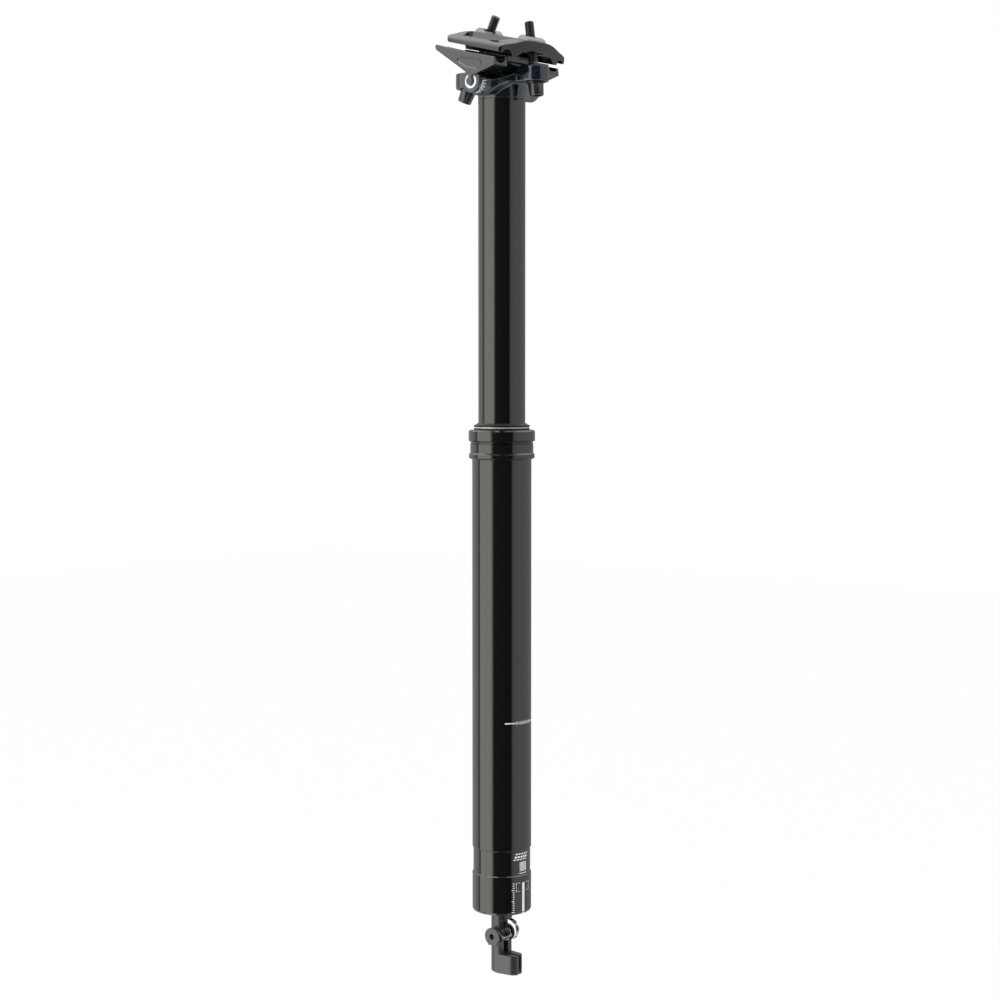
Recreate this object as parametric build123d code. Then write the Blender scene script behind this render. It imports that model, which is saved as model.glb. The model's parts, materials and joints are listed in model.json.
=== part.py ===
from build123d import *
import os
from math import asin, atan2, cos, degrees, hypot, pi, radians, sin, sqrt

# Dropper seatpost, 170 mm of travel, cable pull at the bottom.
# The origin lies on the tube axis at the lower edge of the collar, where the bicycle frame ends.
# +Z points up to the saddle and +X to the front of the bicycle. All lengths are millimetres.

os.makedirs("parts", exist_ok=True)

# Fits between pieces
running_fit = 0.04      # radial, pieces that slide or turn on each other
fixed_fit = 0.02        # radial, pieces that are pressed, bonded or screwed together
saddle_fit = 0.10       # radial, cradle on the head's barrel
cheek_gap = 0.20        # between a cheek and the end of the barrel
bolt_clearance = 0.30   # round a bolt that swings in its hole
cut_through = 1.0       # how far a cutter runs past the face that it leaves

# Tubes
travel = 170.0
post_diameter = 31.6
outer_wall = 2.5
main_length = 208.1     # full diameter, below the collar
neck_diameter = 30.6
neck_length = 13.6
lower_thread_diameter = 29.8
upper_thread_diameter = 30.4
upper_thread_length = 11.6
stanchion_diameter = 25.0
stanchion_wall = 2.1
stanchion_overlap = 60.0
tube_chamfer = 0.5

# Guide bushings and key pins
upper_bushing_length = 24.0
upper_bushing_drop = 13.0
lower_bushing_length = 20.0
lower_bushing_rise = 16.0
bushing_groove_depth = 0.5
washer_height = 2.5
key_diameter = 2.5
key_length = 10.0
key_rise = 3.0
key_count = 3
key_sink = 0.8

# Collar and wiper
collar_height = 15.5
collar_flange_diameter = 35.4
collar_waist_diameter = 33.6
collar_groove_diameter = 33.0
collar_lower_flange_diameter = 35.0
collar_top_flange_height = 5.6
collar_groove_height = 1.6
collar_lower_flange_height = 3.4
collar_edge = 0.7
collar_lip_height = 2.6
seal_diameter = 29.8
seal_foot_height = 0.7
seal_ring_diameter = 29.2
seal_ring_height = 1.3
seal_top_height = 0.9
wiper_height = 0.7
wiper_edge = 0.5
seal_skirt_depth = 2.4
seal_skirt_wall = 1.3
ring_wall = 1.2
collar_o_ring_section = 0.8

# Bottom cap
cap_height = 21.3
cap_floor = 5.0
cap_edge = 1.4
cap_step_chamfer = 0.5
cap_o_ring_section = 1.6

# Actuator body
column_diameter = 11.3
flange_diameter = 17.0
flange_height = 2.4
spigot_diameter = 13.0
foot_drop = 34.0              # from the cap's lower face to the sole
foot_height = 10.5
foot_width = 9.4
toe_centre_reach = 7.9
heel_rise = 1.5               # the sole slopes up to the heel
heel_slope_start = 1.0
sole_edge = 0.8
cable_slot_width = 1.9
housing_diameter = 5.2
housing_depth = 6.0
lever_slot_rear = 4.0
lever_gap = 0.3               # between the lever and the walls of its slot
web_front = 2.85
web_corner = 2.0
pivot_drop = 13.5             # from the cap's lower face to the lever's pivot
pivot_boss_diameter = 9.0
pivot_boss_width = 10.0

# Lever and its pivot
pivot_bolt_diameter = 4.0
pivot_shoulder_diameter = 5.0
pivot_head_diameter = 9.5
pivot_head_height = 1.0
pivot_socket_width = 3.0
pivot_socket_depth = 1.9
bush_wall = 0.5
lever_width = 3.2
lever_hub_radius = 3.4
nose_radius = 5.6
nose_reach = 5.3
nose_rise = 3.4
nose_groove_depth = 0.9
cam_lift = 1.6                # of the release pin, over the lever's whole angle
cam_start = 1.5               # from the hub to the centre of the pin's round end
cam_overrun = 3.0             # degrees of cam beyond the lever's angle
cam_clearance = 0.05
horn_reach = 3.3              # rear flank of the cam
cable_barrel_diameter = 5.0
grub_diameter = 3.0
grub_length = 3.6
grub_socket_width = 1.5
grub_socket_depth = 1.2
cable_diameter = 1.2
lever_angle = 25.0

# Return spring on the pivot
spring_wire = 0.6
spring_radius = 3.3
spring_pitch = 1.05
spring_turns = 1.375          # from the rear leg over the top to the front leg
spring_seat_gap = 0.28        # at each end of the coil
spring_leg_length = 5.4
spring_hook_reach = 4.1
spring_hook_bend = 0.8
spring_hook_depth = 0.5       # of the hooked end in the lever's side
spring_hole_gap = 0.15

# Cartridge
cartridge_diameter = 19.8
cartridge_bore = 18.0
rod_diameter = 7.0
pin_diameter = 2.4
rod_nut_diameter = 12.0
rod_nut_height = 3.0
rod_socket_depth = 6.0
end_ring_height = 2.0
end_ring_bore = 12.6
seal_head_height = 14.0
rod_seal_diameter = 10.4
rod_seal_height = 2.6
rod_seal_rise = 4.0
piston_height = 15.0
piston_rise = 1.0
piston_ring_height = 2.0
piston_ring_depth = 1.0
valve_chamber_diameter = 10.0
valve_chamber_height = 6.5
valve_roof = 2.0
valve_port_diameter = 2.0
valve_port_count = 4
poppet_diameter = 5.2
poppet_height = 1.2
valve_wire = 0.5
valve_turns = 4
floating_height = 7.0
floating_rise = 161.0
floating_ring_section = 1.0
plug_height = 8.0
plug_collar_height = 3.0
plug_stud_diameter = 8.0
plug_stud_length = 9.0
head_spigot_length = 14.0

# Head
neck_visible_height = 188.9   # where the head's neck meets the stanchion
pivot_rise = 7.5              # from there to the pivot
barrel_radius = 5.9
barrel_half_length = 25.6
deck_height = 1.7             # the head's deck above the pivot
ear_seat_reach = 22.5
ear_seat_height = 0.3
ear_top_height = 8.5
ear_half_width = 7.0
saddle_start_reach = 8.4
saddle_mid_reach = 13.6
saddle_mid_height = 4.5
saddle_end_reach = 17.2
under_start_reach = 5.2
under_end_reach = 12.2
flank_mid_reach = 9.3
flank_mid_side = 15.5
flank_end_reach = 15.0
web_end_side = 22.6           # where the flanks have run out into the barrel
horn_mid_side = 17.2
horn_mid_radius = 7.9
horn_start_side = 13.0
horn_start_radius = 13.2
pivot_pin_radius = 2.2
pivot_pin_depth = 2.6
pivot_ring_outer = 3.8
pivot_ring_inner = 2.45
pivot_ring_depth = 0.6

# Clamp, in its own frame: x forward and z up from the pivot
tilt = 13.0
tilt_up = 12.0
tilt_down = 4.0
rail_diameter = 7.0
rail_spread = 44.0
rail_height = 15.4
rail_bite = 1.0               # from the rail's centre to each half's parting face
cradle_member_width = 10.5
cheek_thickness = 1.2
beak_reach = 27.0
beak_depth = 1.9
beak_rise = 0.9               # of the beak's end above the parting face
beak_rise_start = 10.0
beak_corner = 0.8
cradle_front_top = 14.0
cradle_front_low = 15.4
cradle_front_drop = 3.7
tip_half_width = 2.4
tip_height = 3.6
rear_edge_reach = 9.4
rear_edge_height = 6.3
finger_half_width = 1.3
block_front = 9.4
block_rear = 9.8
block_drop = 1.4
block_rise = 2.6              # of its middle above the parting face
block_rise_reach = 7.6
block_rise_side = 10.8
wall_rise = 1.0               # of the walls inside the rails
wall_rear = 13.5
cheek_pocket_depth = 0.5
pocket_corner = 1.2
pocket_rear = 15.8
pocket_rear_height = 10.6
pocket_front = 4.5
pocket_front_height = 11.7
pocket_nose_reach = 6.8
pocket_nose_height = 9.4
pocket_low = 6.6
pocket_low_reach = 3.4
upper_rear = 21.4
upper_rear_middle = 22.3
upper_front = 17.2
upper_front_middle = 20.8
wing_overhang = 0.5
top_height = 25.6             # of the upper clamp over the pivot, and its fall to the sides
top_first_side = 8.6
top_first_fall = 0.2
top_second_side = 14.0
top_second_fall = 1.4
top_third_side = 20.0
top_third_fall = 3.3
top_fourth_side = 25.0
top_fourth_fall = 4.7
top_end_fall = 6.2
valley_front = 6.5
valley_front_inner = 10.4
valley_rear = 15.0
valley_rear_inner = 18.6
valley_side = 10.4
valley_outer_side = 19.4
valley_height = 21.2
valley_corner = 1.2
valley_slope = 20.0           # degrees of its walls
wing_low_front = 16.8         # lower edge of the wings' outer walls
wing_low_rear = 17.6
ledge_rear = 13.5
ledge_rise = 0.3              # from the rail's centre to the ledges inside the rails
arch_height = 18.7
arch_side = 12.0
arch_foot_side = 16.2
lip_height = 20.9             # of the arch at the front edge
lip_depth = 4.5
lip_side = 9.0
lip_slope = 25.0              # degrees
rear_corner = 5.0
front_corner = 2.2
rear_round_height = 20.8
rear_round_middle = 24.2
rear_round_reach = 19.4
rear_under_reach = 18.6
rear_under_rise = 2.4

# Clamp bolts, washers and barrel nuts
bolt_diameter = 5.0
front_bolt_length = 31.6
rear_bolt_length = 41.0
bolt_head_diameter = 8.2
bolt_head_end_diameter = 7.2
bolt_head_height = 6.4
bolt_socket_width = 4.0
bolt_socket_depth = 3.2
bolt_tip_chamfer = 0.5
washer_dome_radius = 5.2
washer_flange_diameter = 9.6
washer_flange_height = 0.9
nut_reach = 14.7
nut_height = 24.2
nut_radius = 3.7
nut_length = 15.4
front_swing_ratio = 0.815     # swing of the front bolt for each degree of tilt
rear_swing_ratio = 0.683

# Sizes that follow
tube_radius = post_diameter / 2
tube_bore = tube_radius - outer_wall
stanchion_radius = stanchion_diameter / 2
stanchion_bore = stanchion_radius - stanchion_wall
neck_bottom = -main_length - neck_length
cap_bottom = neck_bottom - cap_height
cap_floor_top = cap_bottom + cap_floor
tube_end = cap_floor_top + cap_o_ring_section
sole = cap_bottom - foot_drop
pivot_height = neck_visible_height + pivot_rise
cradle_half_width = barrel_half_length + cheek_gap + cheek_thickness
upper_half_width = cradle_half_width + wing_overhang
lever_z = cap_bottom - pivot_drop
rail_side = rail_spread / 2
rail_radius = rail_diameter / 2
cradle_top = rail_height - rail_bite
upper_bottom = rail_height + ledge_rise


def disc(radius, low, high, x=0.0, y=0.0):
    """Upright round bar between two heights."""
    return Pos(x, y, (low + high) / 2) * Cylinder(radius, high - low)


def ring(outer, inner, low, high):
    """Upright round sleeve between two heights."""
    return disc(outer, low, high) - disc(inner, low - cut_through, high + cut_through)


def cross_bar(radius, start, end, x=0.0, z=0.0):
    """Round bar along Y."""
    return Pos(x, (start + end) / 2, z) * Rot(90, 0, 0) * Cylinder(radius, end - start)


def slab(x_low, x_high, y_low, y_high, z_low, z_high):
    """Rectangular block given by its six faces."""
    centre = Pos((x_low + x_high) / 2, (y_low + y_high) / 2, (z_low + z_high) / 2)
    return centre * Box(x_high - x_low, y_high - y_low, z_high - z_low)


def side_plate(face, half_width):
    """Extrudes an outline drawn in X and Z to both sides of Y=0."""
    return extrude(Plane.XZ * face, amount=half_width, both=True)


def turned(points):
    """Turned piece from a closed outline of radius and height pairs."""
    return revolve(Plane.XZ * make_face(Polyline(*points, close=True)), axis=Axis.Z)


def on_pivot(shape, angle=tilt):
    """Carries a piece from the clamp's own frame to its place on the head."""
    return Pos(0, 0, pivot_height) * Rot(0, angle, 0) * shape


def clamp_to_post(x, z):
    """The same for one point, as X and Z on the post."""
    a = radians(tilt)
    return x * cos(a) + z * sin(a), pivot_height - x * sin(a) + z * cos(a)


def hexagon_socket(width, low, high):
    """Six-sided hole along Z, measured across the flats."""
    return Pos(0, 0, low) * extrude(RegularPolygon(width / sqrt(3), 6), amount=high - low)


# Outer tube, collar and seal

key_circle = stanchion_radius - key_sink + key_diameter / 2


def at_keys():
    """Places of the key pins round the stanchion."""
    return PolarLocations(key_circle, key_count, start_angle=90)


def outer_tube():
    body = turned([
        (tube_bore, tube_end), (lower_thread_diameter / 2, tube_end),
        (lower_thread_diameter / 2, neck_bottom), (neck_diameter / 2, neck_bottom),
        (neck_diameter / 2, -main_length - tube_chamfer), (tube_radius, -main_length),
        (tube_radius, 0), (upper_thread_diameter / 2, 0),
        (upper_thread_diameter / 2, upper_thread_length), (tube_bore, upper_thread_length),
    ])
    channel_top = upper_bushing_drop - upper_bushing_length - washer_height
    channel = Cylinder(key_diameter / 2 + running_fit, channel_top - tube_end + cut_through)
    level = Pos(0, 0, (channel_top + tube_end - cut_through) / 2)
    return body - [level * place * channel for place in at_keys()]


def seal_collar():
    flange = collar_flange_diameter / 2
    lower = collar_lower_flange_diameter / 2
    waist = collar_waist_diameter / 2
    groove = collar_groove_diameter / 2
    groove_top = collar_height - collar_top_flange_height
    groove_low = groove_top - collar_groove_height
    bore = upper_thread_diameter / 2 + fixed_fit
    lip = collar_height - collar_lip_height
    body = turned([
        (bore, 0), (tube_radius + collar_edge / 2, 0), (lower - collar_edge, collar_edge / 2),
        (lower, collar_edge), (lower, collar_lower_flange_height - collar_edge),
        (waist, collar_lower_flange_height), (waist, groove_low),
        (groove, groove_low + collar_edge / 2), (groove, groove_top - collar_edge),
        (flange, groove_top), (flange, collar_height - collar_edge),
        (flange - collar_edge, collar_height), (bore, collar_height),
    ])
    seat = stanchion_radius + seal_skirt_wall + fixed_fit
    return body + ring(bore + fixed_fit, seat, lip, collar_height)


def seal_levels():
    """Heights of the seal's faces, from the collar's top upwards."""
    foot = collar_height + seal_foot_height
    top_flange = foot + seal_ring_height
    lip = top_flange + seal_top_height
    return foot, top_flange, lip, lip + wiper_height


def wiper_seal():
    foot, top_flange, lip, edge = seal_levels()
    outer = seal_diameter / 2
    inner = stanchion_radius + running_fit
    core = seal_ring_diameter / 2 - ring_wall
    skirt = inner + seal_skirt_wall
    return turned([
        (inner, collar_height - seal_skirt_depth), (skirt - running_fit, collar_height - seal_skirt_depth),
        (skirt - running_fit, collar_height), (outer, collar_height), (outer, foot), (core, foot),
        (core, top_flange), (outer, top_flange), (outer, lip - seal_top_height / 3),
        (inner + seal_skirt_wall, lip), (inner + wiper_edge, edge), (inner, edge),
    ])


def seal_ring():
    foot, top_flange, lip, edge = seal_levels()
    outer = seal_ring_diameter / 2
    return ring(outer, outer - ring_wall + fixed_fit, foot, top_flange)


def upper_bushing():
    low = upper_bushing_drop - upper_bushing_length
    top = min(upper_bushing_drop, upper_thread_length)
    return ring(tube_bore - fixed_fit, stanchion_radius + running_fit, low, top)


def top_out_washer():
    top = upper_bushing_drop - upper_bushing_length
    return ring(tube_bore - fixed_fit, stanchion_radius + running_fit, top - washer_height, top)


def collar_o_ring():
    section = collar_o_ring_section
    middle = upper_thread_diameter / 2 - section / 2 - fixed_fit
    top = collar_height - collar_lip_height
    low = upper_thread_length
    return ring(middle + section / 2, middle - section / 2, low, top)


# Stanchion with its guides

stanchion_bottom = -stanchion_overlap
key_low = stanchion_bottom + key_rise
bushing_low = stanchion_bottom + lower_bushing_rise


def stanchion():
    body = ring(stanchion_radius, stanchion_bore, stanchion_bottom, neck_visible_height)
    groove = ring(stanchion_radius + cut_through, stanchion_radius - bushing_groove_depth,
                  bushing_low, bushing_low + lower_bushing_length)
    seat = Cylinder(key_diameter / 2 + fixed_fit, key_length)
    level = Pos(0, 0, key_low + key_length / 2)
    return body - groove - [level * place * seat for place in at_keys()]


def lower_bushing():
    return ring(tube_bore - running_fit, stanchion_radius - bushing_groove_depth + fixed_fit,
                bushing_low, bushing_low + lower_bushing_length)


def anti_rotation_keys():
    level = Pos(0, 0, key_low + key_length / 2)
    return [level * place * Cylinder(key_diameter / 2, key_length) for place in at_keys()]


def stanchion_end_ring():
    return ring(stanchion_bore - fixed_fit, end_ring_bore / 2, stanchion_bottom,
                stanchion_bottom + end_ring_height)


# Cartridge: the body rides in the stanchion, the rod stands in the bottom cap

body_low = stanchion_bottom + end_ring_height
body_high = neck_visible_height - head_spigot_length
bore_radius = cartridge_bore / 2
rod_radius = rod_diameter / 2
pin_radius = pin_diameter / 2
head_top = body_low + seal_head_height
piston_low = head_top + piston_rise
piston_high = piston_low + piston_height
chamber_high = piston_high - valve_roof
chamber_low = chamber_high - valve_chamber_height
rod_foot = cap_floor_top + flange_height - rod_socket_depth
floating_low = body_low + floating_rise + seal_head_height


def cartridge_body():
    return ring(cartridge_diameter / 2, bore_radius, body_low, body_high - plug_collar_height)


def cartridge_top_plug():
    collar_low = body_high - plug_collar_height
    plug = disc(bore_radius - fixed_fit, collar_low - plug_height, collar_low)
    collar = disc(cartridge_diameter / 2, collar_low, body_high)
    stud = disc(plug_stud_diameter / 2, body_high, body_high + plug_stud_length)
    return plug + collar + stud


def cartridge_seal_head():
    body = ring(bore_radius - fixed_fit, rod_radius + running_fit, body_low, head_top)
    groove_low = body_low + rod_seal_rise
    groove = disc(rod_seal_diameter / 2, groove_low, groove_low + rod_seal_height)
    return body - groove


def rod_seal():
    low = body_low + rod_seal_rise
    return ring(rod_seal_diameter / 2 - fixed_fit, rod_radius + running_fit, low, low + rod_seal_height)


def cartridge_rod():
    return ring(rod_radius, pin_radius + running_fit, rod_foot, chamber_low - poppet_height)


def cartridge_piston():
    body = disc(bore_radius - running_fit, piston_low, piston_high)
    groove_mid = (piston_low + chamber_low) / 2
    groove = ring(bore_radius, bore_radius - piston_ring_depth,
                  groove_mid - piston_ring_height / 2, groove_mid + piston_ring_height / 2)
    chamber = disc(valve_chamber_diameter / 2, chamber_low, chamber_high)
    rod_hole = disc(rod_radius + fixed_fit, piston_low - cut_through, chamber_low - poppet_height)
    pin_hole = disc(pin_radius + running_fit, piston_low, chamber_low)
    port = Cylinder(valve_port_diameter / 2, valve_roof + cut_through)
    level = Pos(0, 0, chamber_high + valve_roof / 2)
    ports = [level * place * port for place in PolarLocations(valve_chamber_diameter / 4, valve_port_count)]
    return body - groove - chamber - rod_hole - pin_hole - ports


def piston_ring():
    middle = (piston_low + chamber_low) / 2
    inner = bore_radius - piston_ring_depth + fixed_fit
    return ring(bore_radius - fixed_fit, inner, middle - piston_ring_height / 2,
                middle + piston_ring_height / 2)


def valve_poppet():
    return disc(poppet_diameter / 2, chamber_low, chamber_low + poppet_height)


def valve_spring():
    radius = poppet_diameter / 2 - valve_wire / 2
    low = chamber_low + poppet_height + valve_wire / 2
    high = chamber_high - valve_wire / 2
    path = Pos(0, 0, low) * Helix(pitch=(high - low) / valve_turns, height=high - low, radius=radius)
    section = Plane(origin=path @ 0, z_dir=path % 0) * Circle(valve_wire / 2)
    return sweep(section, path=path, is_frenet=True)


def floating_piston():
    body = disc(bore_radius - running_fit, floating_low, floating_low + floating_height)
    middle = floating_low + floating_height / 2
    groove = ring(bore_radius, bore_radius - floating_ring_section,
                  middle - floating_ring_section / 2, middle + floating_ring_section / 2)
    return body - groove


def floating_piston_ring():
    middle = floating_low + floating_height / 2
    inner = bore_radius - floating_ring_section + fixed_fit
    return ring(bore_radius - fixed_fit, inner, middle - floating_ring_section / 2,
                middle + floating_ring_section / 2)


def release_pin():
    foot = lever_z + cam_base
    return disc(pin_radius, foot, chamber_low) + Pos(0, 0, foot) * Sphere(pin_radius)


def rod_nut():
    top = cap_floor_top + flange_height
    body = Pos(0, 0, top) * extrude(RegularPolygon(rod_nut_diameter / 2, 6), amount=rod_nut_height)
    return body - disc(rod_radius + fixed_fit, top - cut_through, top + rod_nut_height + cut_through)


# Bottom cap

def bottom_cap():
    inner = lower_thread_diameter / 2 + fixed_fit
    body = turned([
        (spigot_diameter / 2 + fixed_fit, cap_bottom), (tube_radius - cap_edge, cap_bottom),
        (tube_radius - cap_edge / 3, cap_bottom + cap_edge / 3), (tube_radius, cap_bottom + cap_edge),
        (tube_radius, neck_bottom - cap_step_chamfer), (tube_radius - cap_step_chamfer, neck_bottom),
        (inner, neck_bottom), (inner, cap_floor_top), (spigot_diameter / 2 + fixed_fit, cap_floor_top),
    ])
    return body


def cap_o_ring():
    radius = cap_o_ring_section / 2
    return Pos(0, 0, cap_floor_top + radius) * Torus(lower_thread_diameter / 2 - radius, radius)


# Actuator

lever_slot_half = lever_width / 2 + lever_gap
slot_top = lever_z + nose_rise + nose_radius + lever_gap
slot_low = sole + foot_height
bush_radius = pivot_bolt_diameter / 2 + bush_wall
boss_half = pivot_boss_width / 2
spring_space = spring_pitch * spring_turns + spring_wire + 2 * spring_seat_gap
cam_base = lever_hub_radius + cam_start
cam_rate = cam_lift / radians(lever_angle)


def egg(first_radius, second_radius, x, y=0.0):
    """Outline round two circles, the first at the origin, with their common tangents."""
    return make_hull([*Circle(first_radius).edges(), *(Pos(x, y) * Circle(second_radius)).edges()])


def actuator_body():
    column_radius = column_diameter / 2
    spigot = disc(spigot_diameter / 2, cap_bottom, cap_floor_top)
    flange = disc(flange_diameter / 2, cap_floor_top, cap_floor_top + flange_height)
    column = disc(column_radius, sole + foot_height / 2, cap_bottom)
    front_face = make_face(Polyline((web_front, slot_low), (column_diameter, slot_low),
                                    (column_diameter, slot_top), (web_front, slot_top), close=True))
    front_face = fillet(front_face.vertices().sort_by(Axis.X)[:2].sort_by(Axis.Z)[0], web_corner)
    column -= side_plate(front_face, column_diameter)
    foot = Pos(0, 0, sole) * extrude(egg(column_radius, foot_width / 2, toe_centre_reach), amount=foot_height)
    foot = chamfer(foot.faces().sort_by(Axis.Z)[0].edges(), sole_edge)
    heel = make_face(Polyline((-column_diameter, sole - cut_through), (heel_slope_start, sole - cut_through),
                              (heel_slope_start, sole), (-column_radius, sole + heel_rise),
                              (-column_diameter, sole + heel_rise * 2), close=True))
    body = column + (foot - side_plate(heel, column_diameter))
    body += cross_bar(pivot_boss_diameter / 2, -boss_half, boss_half, z=lever_z)
    body += spigot + flange
    reach = toe_centre_reach + foot_width
    lever_slot = slab(-lever_slot_rear, reach, -lever_slot_half, lever_slot_half, slot_low, slot_top)
    cable_slot = slab(web_front, reach, -cable_slot_width / 2, cable_slot_width / 2,
                      sole - cut_through, slot_low + cut_through)
    housing = disc(housing_diameter / 2, sole - cut_through, sole + housing_depth, x=toe_centre_reach)
    pin_hole = disc(pin_radius + running_fit, slot_top - cut_through, cap_floor_top + flange_height)
    rod_hole = disc(rod_radius + fixed_fit, rod_foot, cap_floor_top + flange_height + cut_through)
    pivot_hole = cross_bar(pivot_bolt_diameter / 2 + fixed_fit, -column_diameter, column_diameter, z=lever_z)
    spring_seat = cross_bar(pivot_head_diameter / 2 + lever_gap, -column_diameter, -boss_half, z=lever_z)
    return body - lever_slot - cable_slot - housing - pin_hole - rod_hole - pivot_hole - spring_seat


def pivot_bolt():
    head_low = -boss_half - spring_space
    end = head_low - pivot_head_height
    head = cross_bar(pivot_head_diameter / 2, end, head_low, z=lever_z)
    shoulder = cross_bar(pivot_shoulder_diameter / 2, head_low, -boss_half, z=lever_z)
    shank = cross_bar(pivot_bolt_diameter / 2, -boss_half, boss_half, z=lever_z)
    socket = hexagon_socket(pivot_socket_width, 0, pivot_socket_depth + cut_through)
    return head + shoulder + shank - Pos(0, end - cut_through, lever_z) * Rot(-90, 0, 0) * socket


def lever_bush():
    half = lever_slot_half
    outer = cross_bar(bush_radius, -half, half, z=lever_z)
    return outer - cross_bar(pivot_bolt_diameter / 2 + fixed_fit, -half - cut_through, half + cut_through,
                             z=lever_z)


def cam_point(angle):
    """The cam's edge where the lever has turned by an angle: the pin's end rolls on an even spiral."""
    radius = cam_base + cam_rate * angle
    offset = pin_radius + cam_clearance
    slope = hypot(radius, cam_rate)
    along, across = offset * radius / slope, offset * cam_rate / slope
    x = -(radius - along) * sin(angle) - across * cos(angle)
    z = (radius - along) * cos(angle) - across * sin(angle)
    return x, z


def cam_outline():
    """Cam on the hub, from its foot below the pin to the horn behind it."""
    steps = 8
    last = radians(lever_angle + cam_overrun)
    points = [cam_point(last * i / steps) for i in range(steps + 1)]
    edge = Spline(*points)
    rear = Polyline(points[-1], (-horn_reach, points[-1][1] - horn_reach / 2), (-lever_hub_radius, 0), (0, 0),
                    points[0])
    return make_face(Wire([edge.edge(), *rear.edges()]))


def spring_hook():
    """Where the return spring's front end enters the lever, from the pivot."""
    turn = 2 * pi * (spring_turns % 1)
    start_x, start_z = -spring_radius * cos(turn), spring_radius * sin(turn)
    return start_x + spring_hook_reach * sin(turn), start_z + spring_hook_reach * cos(turn)


def release_lever():
    half = lever_width / 2
    hub = cross_bar(lever_hub_radius, -half, half)
    arm = side_plate(egg(lever_hub_radius, nose_radius, nose_reach, nose_rise), half)
    pin_room = slab(-nose_radius * 2, pin_radius + lever_gap, -lever_width, lever_width, 0, nose_radius * 2)
    body = (arm - pin_room) + hub + side_plate(cam_outline(), half)
    groove = cross_bar(nose_radius + cut_through, -cable_slot_width / 2, cable_slot_width / 2,
                       x=nose_reach, z=nose_rise)
    groove -= cross_bar(nose_radius - nose_groove_depth, -cable_slot_width, cable_slot_width,
                        x=nose_reach, z=nose_rise)
    front = slab(nose_reach, nose_reach + nose_radius + cut_through, -half, half,
                 nose_rise - nose_radius - cut_through, nose_rise + nose_radius + cut_through)
    barrel_hole = cross_bar(cable_barrel_diameter / 2 + fixed_fit, -half - cut_through, half + cut_through,
                            x=nose_reach, z=nose_rise)
    bush_hole = cross_bar(bush_radius + running_fit, -half - cut_through, half + cut_through)
    grub_hole = Pos(nose_reach, 0, nose_rise) * disc(grub_diameter / 2 + fixed_fit, 0,
                                                      nose_radius + cut_through)
    cable_hole = Pos(nose_reach, 0, nose_rise) * disc(cable_diameter / 2, -nose_radius, 0)
    hook_x, hook_z = spring_hook()
    spring_hole = cross_bar(spring_wire / 2 + spring_hole_gap, -half - cut_through,
                            -half + spring_hook_depth + spring_hole_gap, x=hook_x, z=hook_z)
    body = body - (groove & front) - barrel_hole - bush_hole - grub_hole - cable_hole - spring_hole
    return Pos(0, 0, lever_z) * body


def cable_barrel():
    half = lever_width / 2
    body = cross_bar(cable_barrel_diameter / 2, -half, half, x=nose_reach, z=nose_rise)
    hole = disc(cable_diameter / 2, -nose_radius, 0, x=nose_reach)
    screw_hole = disc(grub_diameter / 2 + fixed_fit, 0, nose_radius, x=nose_reach)
    return Pos(0, 0, lever_z) * (body - Pos(0, 0, nose_rise) * (hole + screw_hole))


def barrel_grub_screw():
    top = grub_length
    body = disc(grub_diameter / 2, 0, top) - hexagon_socket(grub_socket_width, top - grub_socket_depth,
                                                           top + cut_through)
    return Pos(nose_reach, 0, lever_z + nose_rise) * body


def spring_path():
    """Middle line of the return spring: rear leg, coil towards the column, front leg and hook."""
    start_y = -boss_half - spring_space + spring_seat_gap + spring_wire / 2
    height = spring_pitch * spring_turns
    coil = Helix(pitch=spring_pitch, height=height, radius=spring_radius)
    coil = Pos(0, start_y, 0) * Rot(-90, 0, 0) * Rot(0, 0, 180) * coil
    start, end = coil @ 0, coil @ 1
    out = coil % 1
    bend = end + out * spring_hook_reach
    hook_x, hook_z = spring_hook()
    tip = Vector(bend.X, -lever_width / 2 + spring_hook_depth, bend.Z)
    leg = Line(start - (coil % 0) * spring_leg_length, start)
    front = FilletPolyline(end, bend, tip, radius=spring_hook_bend)
    return leg, coil, front


def least_spring_gap():
    """Least distance between two windings of the return spring, measured on points of its middle line."""
    leg, coil, front = spring_path()
    turn_share = 1 / spring_turns
    steps = 60
    points = [coil.position_at(i / steps) for i in range(steps + 1)]
    points += [front.position_at(i / steps) for i in range(1, steps + 1)]
    points = [leg.position_at(i / steps) for i in range(steps)] + points
    apart = steps * turn_share / 2
    least = min((a - b).length for i, a in enumerate(points) for b in points[i + 1:][round(apart):])
    return least - spring_wire


def lever_return_spring():
    leg, coil, front = spring_path()
    path = Wire([leg.edge(), coil.edge(), *front.edges()])
    section = Plane(origin=path @ 0, z_dir=path % 0) * Circle(spring_wire / 2)
    return Pos(0, 0, lever_z) * sweep(section, path=path, is_frenet=True)


# Head

def head_side_outline():
    """The head seen from the side, in X and Z from the pivot: barrel, valley, saddle and ear."""
    r = barrel_radius
    start_angle = asin(deck_height / r)
    reach = ear_seat_reach + ear_half_width
    right_top = [
        ThreePointArc((0, r), (r * sin(pi / 4), r * cos(pi / 4)), (r * cos(start_angle), deck_height)),
        Line((r * cos(start_angle), deck_height), (saddle_start_reach, deck_height)),
        ThreePointArc((saddle_start_reach, deck_height), (saddle_mid_reach, saddle_mid_height),
                      (saddle_end_reach, ear_top_height)),
        Line((saddle_end_reach, ear_top_height), (reach, ear_top_height)),
        Line((reach, ear_top_height), (reach, ear_seat_height)),
        Line((reach, ear_seat_height), (under_end_reach, ear_seat_height)),
        Line((under_end_reach, ear_seat_height), (under_start_reach, -r)),
        Line((under_start_reach, -r), (0, -r)),
    ]
    left = [mirror(edge, about=Plane.YZ) for edge in right_top]
    return make_face(Wire([e.edge() for e in right_top + left]))


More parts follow.
